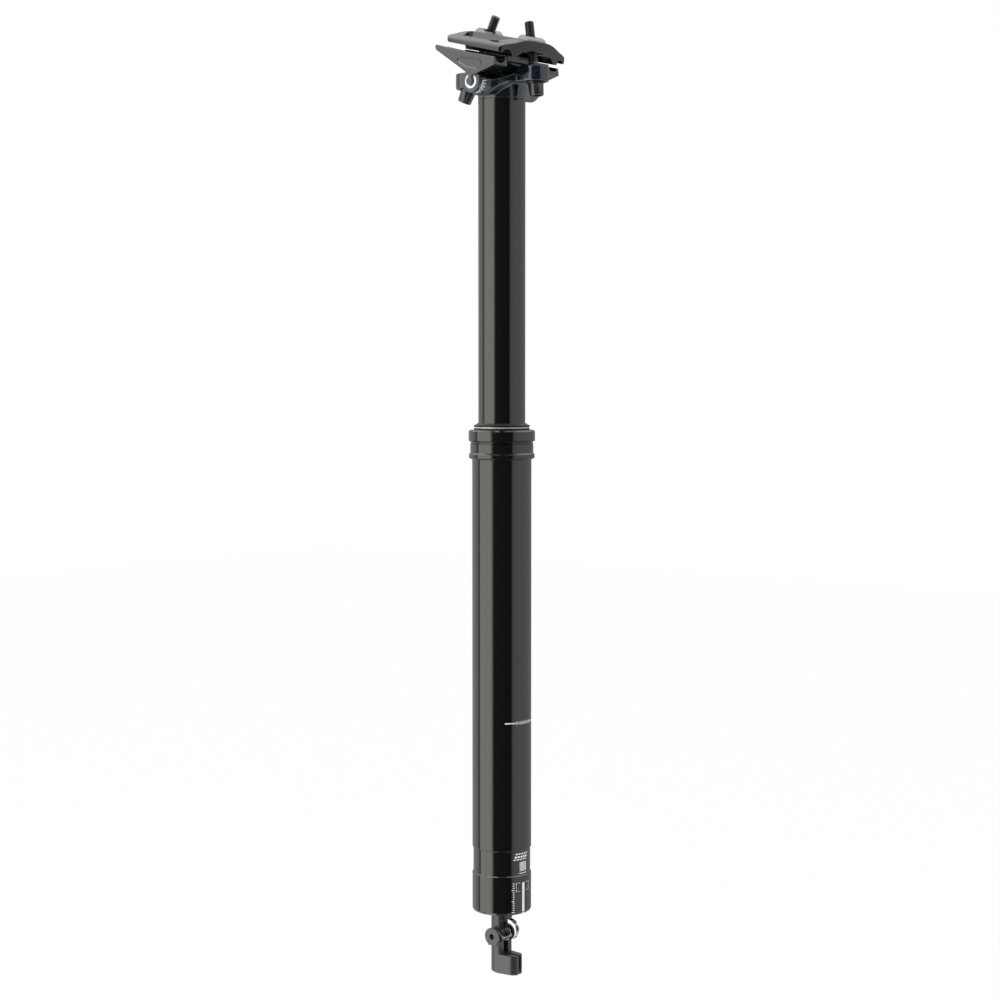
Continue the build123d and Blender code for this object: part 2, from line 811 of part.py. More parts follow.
def head_plan_outline():
    """The head seen from above: barrel ends to the sides, ears fore and aft, hollow flanks between."""
    w = ear_half_width
    quarter = make_face(Wire([e.edge() for e in (
        Line((0, 0), (ear_seat_reach, 0)),
        Line((ear_seat_reach, 0), (ear_seat_reach, w)),
        Line((ear_seat_reach, w), (flank_end_reach, w)),
        ThreePointArc((flank_end_reach, w), (flank_mid_reach, flank_mid_side), (barrel_radius, web_end_side)),
        Line((barrel_radius, web_end_side), (0, web_end_side)),
        Line((0, web_end_side), (0, 0)),
    )]))
    half_plan = quarter + mirror(quarter, about=Plane.XZ)
    ends = Pos(ear_seat_reach, 0) * Circle(w) + Pos(-ear_seat_reach, 0) * Circle(w)
    return half_plan + mirror(half_plan, about=Plane.YZ) + ends


def seat_point(sign):
    """Centre of a washer's dome, on the lower face of an ear, in X and Z from the pivot."""
    return sign * ear_seat_reach, ear_seat_height


def bolt_lean(sign):
    """Angle of a clamp bolt from upright at rest, top towards +X positive."""
    seat_x, seat_z = seat_point(sign)
    nut_x, nut_z = clamp_to_post(sign * nut_reach, nut_height)
    return degrees(atan2(nut_x - seat_x, nut_z - pivot_height - seat_z))


def swing_ratio(sign):
    return front_swing_ratio if sign > 0 else rear_swing_ratio


def bolt_slot(sign):
    """Hole through an ear in which the bolt swings as the clamp tilts."""
    radius = bolt_diameter / 2 + bolt_clearance
    rest = bolt_lean(sign)
    leans = [rest - tilt_up * swing_ratio(sign), rest, rest + tilt_down * swing_ratio(sign)]
    reach = ear_top_height * 2
    seat_x, seat_z = seat_point(sign)
    base = Pos(seat_x, 0, seat_z)
    slot = base * Rot(0, leans[0], 0) * disc(radius, 0, reach)
    for lean in leans[1:]:
        slot += base * Rot(0, lean, 0) * disc(radius, 0, reach)
    wedge = make_face(Polyline((0, 0), (reach * sin(radians(leans[0])), reach * cos(radians(leans[0]))),
                               (reach * sin(radians(leans[-1])), reach * cos(radians(leans[-1]))),
                               close=True))
    return slot + base * side_plate(wedge, radius)


def flank_horn():
    """Turned envelope about the pivot that leads the head's flanks into the round ends of the barrel."""
    reach = ear_seat_reach + ear_half_width * 2
    quarter = make_face(Wire([e.edge() for e in (
        Line((0, 0), (0, web_end_side)),
        Line((0, web_end_side), (barrel_radius, web_end_side)),
        ThreePointArc((barrel_radius, web_end_side), (horn_mid_radius, horn_mid_side),
                      (horn_start_radius, horn_start_side)),
        Line((horn_start_radius, horn_start_side), (reach, horn_start_side)),
        Line((reach, horn_start_side), (reach, 0)),
        Line((reach, 0), (0, 0)),
    )]))
    half = revolve(quarter, axis=Axis.Y)
    return half + mirror(half, about=Plane.XZ)


def post_head():
    side = side_plate(head_side_outline(), barrel_half_length + cut_through)
    plan = Pos(0, 0, -ear_top_height * 2) * extrude(head_plan_outline(), amount=ear_top_height * 4)
    body = side & plan & flank_horn()
    barrel = cross_bar(barrel_radius, -barrel_half_length, barrel_half_length)
    neck_low = neck_visible_height - pivot_height
    neck = disc(stanchion_radius, neck_low, deck_height)
    spigot = disc(stanchion_bore - fixed_fit, neck_low - head_spigot_length, neck_low)
    body = body + barrel + neck + spigot
    stud_top = neck_low - head_spigot_length + plug_stud_length + cut_through
    body -= disc(plug_stud_diameter / 2 + fixed_fit, neck_low - head_spigot_length - cut_through, stud_top)
    for sign in (1, -1):
        seat_x, seat_z = seat_point(sign)
        dome = Pos(seat_x, 0, seat_z) * Sphere(washer_dome_radius + running_fit)
        body = body - dome - bolt_slot(sign)
        outer = sign * barrel_half_length
        inner = sign * (barrel_half_length - pivot_pin_depth)
        body -= cross_bar(pivot_pin_radius + running_fit, min(inner, outer + sign * cut_through),
                          max(inner, outer + sign * cut_through))
        inner = sign * (barrel_half_length - pivot_ring_depth)
        body -= cross_bar(pivot_ring_outer, min(inner, outer + sign * cut_through),
                          max(inner, outer + sign * cut_through))
    return Pos(0, 0, pivot_height) * body


def pivot_rings():
    rings = []
    for sign in (1, -1):
        low, high = sorted((sign * barrel_half_length, sign * (barrel_half_length - pivot_ring_depth)))
        solid = cross_bar(pivot_ring_outer - fixed_fit, low, high)
        solid -= cross_bar(pivot_ring_inner, low - cut_through, high + cut_through)
        rings.append(Pos(0, 0, pivot_height) * solid)
    return rings


# Saddle clamp

def cradle_outline():
    """A cheek seen from the side: beak behind, V down to the pivot, upright front edge."""
    low_front = cradle_top - cradle_front_drop
    face = make_face(Polyline(
        (-beak_reach, cradle_top + beak_rise), (-beak_rise_start, cradle_top), (cradle_front_top, cradle_top),
        (cradle_front_low, low_front), (tip_half_width, tip_height), (-tip_half_width, tip_height),
        (-rear_edge_reach, rear_edge_height), (-beak_reach + beak_depth / 2, cradle_top - beak_depth),
        (-beak_reach, cradle_top - beak_depth / 3), close=True))
    return fillet(face.vertices().sort_by(Axis.X)[:2], beak_corner)


def rail_cutter(sign):
    """Bar along the clamp at one saddle rail."""
    length = beak_reach * 4
    return Pos(0, sign * rail_side, rail_height) * Rot(0, 90, 0) * Cylinder(rail_radius, length)


def lower_cradle():
    half = cradle_half_width
    inner = half - cradle_member_width
    outline = cradle_outline()
    body = side_plate(outline, half)
    block_top = cradle_top - block_drop
    between = slab(-beak_reach - cut_through, beak_reach, -inner, inner, -cradle_top, cradle_top + cut_through)
    block = slab(-block_rear, block_front, -inner, inner, 0, block_top) & side_plate(outline, inner)
    body = (body - between) + block
    body += slab(-block_rise_reach, block_rise_reach, -block_rise_side, block_rise_side,
                 rear_edge_height, cradle_top + block_rise)
    finger = slab(-finger_half_width, finger_half_width, -half, half, 0, tip_height + cut_through)
    pin = cross_bar(pivot_pin_radius, -half, half)
    body = body + finger + pin
    cheek_inner = half - cheek_thickness
    pin_end = barrel_half_length - pivot_pin_depth + cheek_gap
    barrel_space = cross_bar(barrel_radius + saddle_fit, -cheek_inner, cheek_inner)
    barrel_space -= cross_bar(pivot_pin_radius, pin_end, cheek_inner)
    barrel_space -= cross_bar(pivot_pin_radius, -cheek_inner, -pin_end)
    body -= barrel_space
    pocket = make_face(Polyline(
        (-pocket_rear, pocket_rear_height), (pocket_front, pocket_front_height),
        (pocket_nose_reach, pocket_nose_height), (pocket_low_reach, pocket_low),
        (-pocket_low_reach, pocket_low), close=True))
    pocket = fillet(pocket.vertices(), pocket_corner)
    wall = make_face(Polyline(
        (-wall_rear - wall_rise, cradle_top), (-wall_rear, cradle_top + wall_rise),
        (cradle_front_top, cradle_top + wall_rise), (cradle_front_top, cradle_top - block_drop),
        (-wall_rear - wall_rise, cradle_top - block_drop), close=True))
    floor = half - cheek_pocket_depth
    for sign in (1, -1):
        low, high = sorted((sign * inner, sign * (rail_side - rail_radius / 2)))
        body += side_plate(wall, half) & slab(-beak_reach, beak_reach, low, high, 0, rail_height)
        body -= rail_cutter(sign)
        low, high = sorted((sign * floor, sign * (half + cut_through)))
        body -= side_plate(pocket, half + cut_through) & slab(
            -beak_reach, beak_reach, low, high, 0, cradle_top)
    return on_pivot(body)


def upper_section():
    """The upper clamp cut across: one convex top, outer walls, rail ledges and the arch between."""
    w = upper_half_width
    right = [(top_first_side, top_height - top_first_fall), (top_second_side, top_height - top_second_fall),
             (top_third_side, top_height - top_third_fall), (top_fourth_side, top_height - top_fourth_fall),
             (w, top_height - top_end_fall)]
    left = [(-y, z) for y, z in reversed(right)]
    top = Spline(*left, (0, top_height), *right)
    under = Polyline((w, top_height - top_end_fall), (w, upper_bottom), (arch_foot_side, upper_bottom),
                     (arch_side, arch_height), (-arch_side, arch_height), (-arch_foot_side, upper_bottom),
                     (-w, upper_bottom), (-w, top_height - top_end_fall))
    return make_face(Wire([top.edge(), *under.edges()]))


def upper_plan():
    """The upper clamp seen from above: bowed front and rear edges between straight sides."""
    w = upper_half_width
    face = make_face(Wire([e.edge() for e in (
        ThreePointArc((upper_front, -w), (upper_front_middle, 0), (upper_front, w)),
        Line((upper_front, w), (-upper_rear, w)),
        ThreePointArc((-upper_rear, w), (-upper_rear_middle, 0), (-upper_rear, -w)),
        Line((-upper_rear, -w), (upper_front, -w)),
    )]))
    face = fillet(face.vertices().sort_by(Axis.X)[:2], rear_corner)
    return fillet(face.vertices().sort_by(Axis.X)[-2:], front_corner)


def upper_side():
    """The upper clamp seen from the side, with its rounded rear end."""
    low, high = upper_bottom - cut_through, top_height + cut_through
    rear, front = -upper_rear_middle - cut_through, upper_front_middle + cut_through
    return make_face(Wire([e.edge() for e in (
        Line((rear, low), (front, low)), Line((front, low), (front, high)), Line((front, high), (rear, high)),
        Line((rear, high), (rear, low)))])) - make_face(Wire([e.edge() for e in (
            ThreePointArc((-upper_rear_middle, rear_round_height), (-upper_rear, rear_round_middle),
                          (-rear_round_reach, top_height)),
            Line((-rear_round_reach, top_height), (-rear_round_reach, high + cut_through)),
            Line((-rear_round_reach, high + cut_through), (rear - cut_through, high + cut_through)),
            Line((rear - cut_through, high + cut_through), (rear - cut_through, rear_round_height)),
            Line((rear - cut_through, rear_round_height), (-upper_rear_middle, rear_round_height)))]))


def upper_valley(side):
    """Tapered pocket in the upper clamp's top, between its middle and one wing's rim."""
    face = make_face(Polyline(
        (-valley_rear_inner, side * valley_side), (-valley_rear, side * valley_outer_side),
        (valley_front, side * valley_outer_side), (valley_front_inner, side * valley_side), close=True))
    face = fillet(face.vertices(), valley_corner)
    return Pos(0, 0, valley_height) * extrude(face, amount=top_height - valley_height + cut_through,
                                              dir=(0, 0, 1), taper=-valley_slope)


def upper_lip():
    """Tapered cutter that opens the arch towards the front edge."""
    front = Plane(origin=(upper_front_middle + cut_through, 0, 0), x_dir=(0, -1, 0), z_dir=(-1, 0, 0))
    face = make_face(Polyline(
        (-arch_foot_side, upper_bottom - cut_through), (arch_foot_side, upper_bottom - cut_through),
        (arch_foot_side, upper_bottom), (lip_side, lip_height), (-lip_side, lip_height),
        (-arch_foot_side, upper_bottom), close=True))
    return extrude(front * face, amount=lip_depth + cut_through, taper=lip_slope)


def upper_clamp():
    low, high = upper_bottom - cut_through, top_height + cut_through
    bar = extrude(Plane.YZ * upper_section(), amount=upper_rear_middle * 2, both=True)
    plan = Pos(0, 0, low) * extrude(upper_plan(), amount=high - low)
    body = bar & plan & side_plate(upper_side(), upper_half_width + cut_through)
    reach = upper_rear_middle + cut_through
    under = make_face(Polyline(
        (reach, wing_low_front), (-rear_under_reach, wing_low_rear),
        (-upper_rear_middle, wing_low_rear + rear_under_rise), (-reach, wing_low_rear + rear_under_rise * 2),
        (-reach, low), (reach, low), close=True))
    under = side_plate(under, upper_half_width + cut_through)
    under -= slab(-ledge_rear, reach * 2, -rail_side, rail_side, 0, high)
    body = body - under - upper_lip()
    for side in (1, -1):
        body -= upper_valley(side)
    for sign in (1, -1):
        body -= rail_cutter(sign)
        body -= cross_bar(nut_radius + running_fit, -nut_length / 2, nut_length / 2,
                          x=sign * nut_reach, z=nut_height)
        lean = bolt_lean(sign) - tilt
        hole = disc(bolt_diameter / 2 + bolt_clearance * 2, -nut_height, nut_height)
        body -= Pos(sign * nut_reach, 0, nut_height) * Rot(0, lean, 0) * hole
        top = slab(-nut_radius, nut_radius, -nut_length / 2, nut_length / 2, 0, nut_radius * 2)
        body -= Pos(sign * nut_reach, 0, nut_height) * top
    return on_pivot(body)


def clamp_bolt(sign, length):
    """Bolt, built upright from the centre of its washer's dome and leant over to its nut."""
    head_top = -washer_flange_height
    shank = disc(bolt_diameter / 2, head_top, length)
    shank = chamfer(shank.edges().sort_by(Axis.Z)[-1], bolt_tip_chamfer)
    head = Pos(0, 0, head_top) * Rot(180, 0, 0) * extrude(
        Circle(bolt_head_diameter / 2), amount=bolt_head_height,
        taper=degrees(atan2((bolt_head_diameter - bolt_head_end_diameter) / 2, bolt_head_height)))
    head_end = head_top - bolt_head_height
    socket = hexagon_socket(bolt_socket_width, head_end - cut_through, head_end + bolt_socket_depth)
    seat_x, seat_z = seat_point(sign)
    return Pos(seat_x, 0, pivot_height + seat_z) * Rot(0, bolt_lean(sign), 0) * (shank + head - socket)


def spherical_washer(sign):
    hole = bolt_diameter / 2 + fixed_fit
    rim = washer_flange_diameter / 2
    rim_top = sqrt(washer_dome_radius ** 2 - rim ** 2)
    hole_top = sqrt(washer_dome_radius ** 2 - hole ** 2)
    middle = (rim + hole) / 2
    dome = ThreePointArc((rim, rim_top), (middle, sqrt(washer_dome_radius ** 2 - middle ** 2)),
                         (hole, hole_top))
    rest = Polyline((hole, hole_top), (hole, -washer_flange_height), (rim, -washer_flange_height),
                    (rim, rim_top))
    body = revolve(Plane.XZ * make_face(Wire([dome.edge(), *rest.edges()])), axis=Axis.Z)
    seat_x, seat_z = seat_point(sign)
    return Pos(seat_x, 0, pivot_height + seat_z) * Rot(0, bolt_lean(sign), 0) * body


def barrel_nut(sign):
    body = cross_bar(nut_radius, -nut_length / 2 + fixed_fit, nut_length / 2 - fixed_fit)
    body = Rot(0, bolt_lean(sign) - tilt, 0) * (body - disc(bolt_diameter / 2 + bolt_clearance,
                                                            -nut_radius * 2, nut_radius * 2))
    return on_pivot(Pos(sign * nut_reach, 0, nut_height) * body)


pieces = {
    "outer_tube": outer_tube(),
    "seal_collar": seal_collar(),
    "collar_o_ring": collar_o_ring(),
    "wiper_seal": wiper_seal(),
    "seal_ring": seal_ring(),
    "upper_bushing": upper_bushing(),
    "top_out_washer": top_out_washer(),
    "stanchion": stanchion(),
    "lower_bushing": lower_bushing(),
    "anti_rotation_keys": anti_rotation_keys(),
    "stanchion_end_ring": stanchion_end_ring(),
    "cartridge_body": cartridge_body(),
    "cartridge_top_plug": cartridge_top_plug(),
    "cartridge_seal_head": cartridge_seal_head(),
    "rod_seal": rod_seal(),
    "cartridge_rod": cartridge_rod(),
    "cartridge_piston": cartridge_piston(),
    "piston_ring": piston_ring(),
    "valve_poppet": valve_poppet(),
    "valve_spring": valve_spring(),
    "floating_piston": floating_piston(),
    "floating_piston_ring": floating_piston_ring(),
    "release_pin": release_pin(),
    "rod_nut": rod_nut(),
    "bottom_cap": bottom_cap(),
    "cap_o_ring": cap_o_ring(),
    "actuator_body": actuator_body(),
    "pivot_bolt": pivot_bolt(),
    "lever_bush": lever_bush(),
    "release_lever": release_lever(),
    "cable_barrel": cable_barrel(),
    "barrel_grub_screw": barrel_grub_screw(),
    "lever_return_spring": lever_return_spring(),
    "post_head": post_head(),
    "pivot_rings": pivot_rings(),
    "lower_cradle": lower_cradle(),
    "upper_clamp": upper_clamp(),
    "front_clamp_bolt": clamp_bolt(1, front_bolt_length),
    "rear_clamp_bolt": clamp_bolt(-1, rear_bolt_length),
    "front_spherical_washer": spherical_washer(1),
    "rear_spherical_washer": spherical_washer(-1),
    "front_barrel_nut": barrel_nut(1),
    "rear_barrel_nut": barrel_nut(-1),
}

print("least gap of the return spring to itself:", round(least_spring_gap(), 3))

for name, piece in pieces.items():
    solids = piece if isinstance(piece, list) else piece.solids()
    shape = solids[0] if len(solids) == 1 else Compound(children=[s.solid() for s in solids])
    export_step(shape, f"parts/{name}.step")
    print(name, len(solids), "solid(s)")
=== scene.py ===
import json
import math

import bmesh
import bpy
from mathutils import Matrix, Vector
from mathutils.bvhtree import BVHTree


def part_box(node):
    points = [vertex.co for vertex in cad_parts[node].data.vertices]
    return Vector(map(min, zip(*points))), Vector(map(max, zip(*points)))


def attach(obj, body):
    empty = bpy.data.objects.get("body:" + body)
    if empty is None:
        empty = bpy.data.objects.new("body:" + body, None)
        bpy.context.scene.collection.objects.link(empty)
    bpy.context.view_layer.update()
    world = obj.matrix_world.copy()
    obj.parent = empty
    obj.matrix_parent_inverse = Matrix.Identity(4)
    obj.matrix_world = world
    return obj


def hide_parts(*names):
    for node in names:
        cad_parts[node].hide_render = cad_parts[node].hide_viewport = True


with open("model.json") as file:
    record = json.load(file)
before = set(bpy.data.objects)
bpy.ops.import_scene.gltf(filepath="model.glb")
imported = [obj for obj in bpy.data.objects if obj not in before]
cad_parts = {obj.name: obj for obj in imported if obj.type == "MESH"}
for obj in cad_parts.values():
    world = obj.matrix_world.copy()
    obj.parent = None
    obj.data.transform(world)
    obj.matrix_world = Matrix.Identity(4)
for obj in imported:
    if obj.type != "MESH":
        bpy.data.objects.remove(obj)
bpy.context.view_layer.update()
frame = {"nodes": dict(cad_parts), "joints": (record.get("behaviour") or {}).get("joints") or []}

MM = 0.001
TURN = 2 * math.pi

# Camera, as the photograph was taken
CAMERA_AZIMUTH = 39.0
CAMERA_PITCH = 3.5
CAMERA_DISTANCE = 1.0765
CAMERA_HEIGHT = 0.044
CAMERA_LENS = 72.8
SENSOR_WIDTH = 36.0
CAMERA_SHIFT = -0.0018
CAMERA_POLAR = CAMERA_AZIMUTH - 90.0
FLOOR_HEIGHT = -0.40
FLOOR_HALF = 3.0
FLOOR_GREY = 0.85
FLOOR_ROUGHNESS = 0.8
FLOOR_CLEAR_SHARE = 0.93      # how far the floor is plain white to the camera

# Light, as shares of full white
EVEN_LIGHT = 0.9
EVEN_SHARE = 0.25
PANEL_STRENGTH = 2.0
# brightness of what the tubes mirror, by angle round from behind the camera's left
REFLECTION_STOPS = [
    (0.0, 0.12), (0.08, 0.30), (0.155, 0.36), (0.205, 0.33), (0.219, 0.10), (0.230, 0.10), (0.243, 0.66),
    (0.37, 0.72), (0.385, 0.63), (0.402, 0.22), (0.412, 0.02), (0.602, 0.01), (0.617, 0.19), (0.64, 0.245),
    (0.70, 0.275), (0.82, 0.24), (0.90, 0.20), (0.95, 0.13), (1.0, 0.10),
]
# what the floor below and the ceiling above add to that, from straight down to straight up
HEIGHT_STOPS = [
    (0.0, (0.10, 0.105, 0.105)), (0.22, (0.16, 0.17, 0.17)), (0.34, (0.0, 0.0, 0.0)), (0.57, (0.0, 0.0, 0.0)),
    (0.62, (0.01, 0.03, 0.06)), (0.70, (0.10, 0.12, 0.14)), (0.85, (0.5, 0.5, 0.5)),
    (0.93, (0.45, 0.45, 0.45)), (0.975, (0.1, 0.1, 0.1)), (1.0, (0.05, 0.05, 0.05)),
]

# Finishes
WEAR_GAIN = 6.0
GRAIN_DEPTH = 0.0002
LEAST_ROUGHNESS = 0.02

# Clamp bolts, in millimetres, each from the centre of its washer's dome
FRONT_BOLT_LENGTH = 31.6
REAR_BOLT_LENGTH = 41.0
BOLT_RADIUS = 2.5
BOLT_HEAD_RADIUS = 4.1
BOLT_HEAD_END_RADIUS = 3.6
BOLT_HEAD_HEIGHT = 6.4
BOLT_HEAD_TOP = -0.9
BOLT_EDGE = 0.3
BOLT_TIP_CHAMFER = 0.5
BOLT_PITCH = 0.8
THREAD_DEPTH = 0.42
THREAD_CREST = 0.14
THREAD_LENGTH = 22.0
THREAD_STEPS = 10
THREAD_SHARP = math.radians(35)
BOLT_SIDES = 48
HEAD_ROUND_STEPS = 4
SOCKET_WIDTH = 4.0
SOCKET_DEPTH = 3.2
SOCKET_CHAMFER = 0.25

# Rubber beads over the edges of the bright ring, in millimetres
BEAD_HEIGHT = 0.42
BEAD_HALF_WIDTH = 0.12
BEAD_SINK = 0.02
BEAD_SIDES = 96
BEAD_STEPS = 10

# Printed marks, in millimetres and degrees
PRINT_LIFT = 0.02
PRINT_SINK = 0.05
PRINT_ANGLE_STEP = 4.0
PRINT_LENGTH_STEP = 0.6
RAY_START = 40.0
INSERTION_HEIGHT = -139.6
INSERTION_LINE_HALF = 0.3
INSERTION_LINE_SPANS = ((-45, -23), (23, 66))
INSERTION_TICKS = 16
INSERTION_TICK_REACH = 21
INSERTION_TICK_HALF = 0.5
INSERTION_TICK_TALL = 1.1
INSERTION_TICK_SHORT = 0.7
SCALE_LINE_SIDE = -23.15
SCALE_LINE_HALF = 0.17
SCALE_TURN = (2.0, -78.0)
SCALE_TICKS = 11
SCALE_TICK_HALF = 1.5
SCALE_TICK_LENGTH = 1.5
SCALE_LONG_TICK_LENGTH = 2.3
GAUGE_LOW = -242.4
GAUGE_HIGH = -225.7
GAUGE_BAR = (-7.3, -1.3)
GAUGE_BAR_CLEAR = (-9.5, 0.5)
GAUGE_FRAME_LOW = -230.1
GAUGE_FRAME_SIDES = (-21.6, 12.4)
GAUGE_LINE = 0.25
GAUGE_DASH = 3.2
GAUGE_DASHES = 6
GAUGE_FIRST_DASH = -20.8
GAUGE_SIDE_DASHES = 3
GAUGE_SIDE_DASH_HALF = (0.5, 0.45)
RULER_LINES = 14
RULER_LOW = -241.2
RULER_SIDE = -25.8
RULER_LONG = 5.6
RULER_SHORT = 3.4
RULER_LINE_HALF = 0.2
# each row's height, first and last angle and half height
BLOCK_ROWS = ((-210.2, -22, 13, 0.35), (-211.8, -24, 11, 0.5), (-213.2, -27, 9, 0.28))
BLOCK_BARS = 5
BLOCK_BAR_SHARE = 0.72
HATCH_LINES = 6
HATCH_START = -12.0
HATCH_STEP = 3.3
HATCH_WIDTH = 1.7
HATCH_HEIGHTS = (-219.6, -214.6)
BLOCK_FOOT_LINE = (-15, 8, -220.9, -220.5)


# Shader helpers

class Nodes:
    """A node tree with short ways to add and join nodes."""

    def __init__(self, tree):
        self.tree = tree

    def add(self, kind, values=None, **settings):
        node = self.tree.nodes.new(kind)
        for name, value in settings.items():
            setattr(node, name, value)
        for name, value in (values or {}).items():
            self.feed(node.inputs[name], value)
        return node

    def feed(self, socket, value):
        if isinstance(value, bpy.types.NodeSocket):
            self.tree.links.new(value, socket)
        else:
            socket.default_value = value

    def maths(self, operation, first, second=None, third=None):
        node = self.add("ShaderNodeMath", operation=operation)
        for socket, value in zip(node.inputs, (first, second, third)):
            if value is not None:
                self.feed(socket, value)
        return node.outputs[0]

    def ramp(self, factor, stops):
        node = self.add("ShaderNodeValToRGB", {"Fac": factor})
        elements = node.color_ramp.elements
        for place, _ in stops[2:]:
            elements.new(place)
        for element, (place, grey) in zip(elements, stops):
            element.position = place
            element.color = (*grey, 1.0) if isinstance(grey, tuple) else (grey, grey, grey, 1.0)
        return node.outputs["Color"]

    def mix(self, factor, first, second):
        node = self.add("ShaderNodeMix", data_type="RGBA")
        self.feed(node.inputs[0], factor)
        self.feed(node.inputs[6], first)
        self.feed(node.inputs[7], second)
        return node.outputs[2]


def new_group(name, inputs, outputs):
    """Empty shader node group with named sockets."""
    tree = bpy.data.node_groups.new(name, "ShaderNodeTree")
    for label, kind, value in inputs:
        socket = tree.interface.new_socket(label, in_out="INPUT", socket_type=kind)
        socket.default_value = value
    for label, kind in outputs:
        tree.interface.new_socket(label, in_out="OUTPUT", socket_type=kind)
    nodes = Nodes(tree)
    return nodes, nodes.add("NodeGroupInput").outputs, nodes.add("NodeGroupOutput").inputs


FLOAT = "NodeSocketFloat"


def surface_grain_group():
    """Fine unevenness of a finished metal or moulded surface: one mask for roughness and one height."""
    nodes, given, result = new_group(
        "surface_grain",
        [("Scale", FLOAT, 900.0), ("Stretch", FLOAT, 1.0), ("Smudge Scale", FLOAT, 60.0)],
        [("Grain", FLOAT), ("Smudge", FLOAT)])
    place = nodes.add("ShaderNodeTexCoord").outputs["Object"]
    stretch = nodes.add("ShaderNodeCombineXYZ", {"X": 1.0, "Y": 1.0, "Z": given["Stretch"]}).outputs[0]
    stretched = nodes.add("ShaderNodeVectorMath", {0: place, 1: stretch}, operation="MULTIPLY").outputs[0]
    grain = nodes.add("ShaderNodeTexNoise", {"Vector": stretched, "Scale": given["Scale"], "Detail": 3.0,
                                             "Roughness": 0.6})
    smudge = nodes.add("ShaderNodeTexNoise", {"Vector": place, "Scale": given["Smudge Scale"], "Detail": 4.0,
                                              "Roughness": 0.55})
    nodes.feed(result["Grain"], grain.outputs["Fac"])
    nodes.feed(result["Smudge"], smudge.outputs["Fac"])
    return nodes.tree


def edge_wear_group():
    """Mask of the convex edges, broken up by noise, from the bevelled normal against the true one."""
    nodes, given, result = new_group(
        "edge_wear", [("Width", FLOAT, 0.0004), ("Amount", FLOAT, 0.5)], [("Wear", FLOAT)])
    place = nodes.add("ShaderNodeTexCoord").outputs["Object"]
    noise = nodes.add("ShaderNodeTexNoise", {"Vector": place, "Scale": 500.0, "Detail": 4.0}).outputs["Fac"]
    soft = nodes.add("ShaderNodeBevel", {"Radius": given["Width"]}, samples=4).outputs[0]
    true = nodes.add("ShaderNodeNewGeometry").outputs["True Normal"]
    match = nodes.add("ShaderNodeVectorMath", {0: soft, 1: true}, operation="DOT_PRODUCT").outputs["Value"]
    turn = nodes.maths("SUBTRACT", 1.0, match)
    strong = nodes.maths("MULTIPLY", turn, WEAR_GAIN)
    broken = nodes.maths("MULTIPLY", strong, noise)
    nodes.feed(result["Wear"], nodes.maths("MINIMUM", nodes.maths("MULTIPLY", broken, given["Amount"]), 1.0))
    return nodes.tree


GROUPS = {"surface_grain": surface_grain_group(), "edge_wear": edge_wear_group()}


def use_group(nodes, name, values):
    node = nodes.add("ShaderNodeGroup", node_tree=GROUPS[name])
    for label, value in values.items():
        nodes.feed(node.inputs[label], value)
    return node.outputs


def finish_material(name, colour, roughness, worn_colour=None, metallic=0.0, ior=1.5, grain=900.0,
                    stretch=1.0, bump=0.05, rough_change=0.05, wear=0.0, wear_width=0.0004, smudge=60.0,
                    spread=0.12, tint=(1.0, 1.0, 1.0), wave=0.0):
    """A finished surface: base and worn colour, varying roughness, fine grain and slow waves in the bump."""
    material = bpy.data.materials.new(name)
    material.use_nodes = True
    nodes = Nodes(material.node_tree)
    shader = material.node_tree.nodes["Principled BSDF"]
    shader.inputs["IOR"].default_value = ior
    shader.inputs["Metallic"].default_value = metallic
    shader.inputs["Specular Tint"].default_value = (*tint, 1.0)
    texture = use_group(nodes, "surface_grain", {"Scale": grain, "Stretch": stretch, "Smudge Scale": smudge})
    darker = tuple(c * (1 - spread) for c in colour) + (1.0,)
    lighter = tuple(min(1.0, c * (1 + spread)) for c in colour) + (1.0,)
    base = nodes.mix(texture["Smudge"], darker, lighter)
    if wear > 0:
        worn = use_group(nodes, "edge_wear", {"Width": wear_width, "Amount": wear})
        base = nodes.mix(worn["Wear"], base, (*worn_colour, 1.0))
    nodes.feed(shader.inputs["Base Color"], base)
    offset = nodes.maths("MULTIPLY", nodes.maths("SUBTRACT", texture["Smudge"], 0.5), rough_change * 2)
    grainy = nodes.maths("MULTIPLY", nodes.maths("SUBTRACT", texture["Grain"], 0.5), rough_change)
    rough = nodes.maths("ADD", nodes.maths("ADD", offset, grainy), roughness)
    nodes.feed(shader.inputs["Roughness"], nodes.maths("MAXIMUM", rough, LEAST_ROUGHNESS))
    lift = nodes.add("ShaderNodeBump", {"Strength": bump, "Distance": GRAIN_DEPTH,
                                        "Height": texture["Grain"]})
    if wave > 0:
        slow = nodes.add("ShaderNodeBump", {"Strength": 1.0, "Distance": wave * MM,
                                            "Height": texture["Smudge"]})
        nodes.feed(lift.inputs["Normal"], slow.outputs["Normal"])
    nodes.feed(shader.inputs["Normal"], lift.outputs["Normal"])
    return material


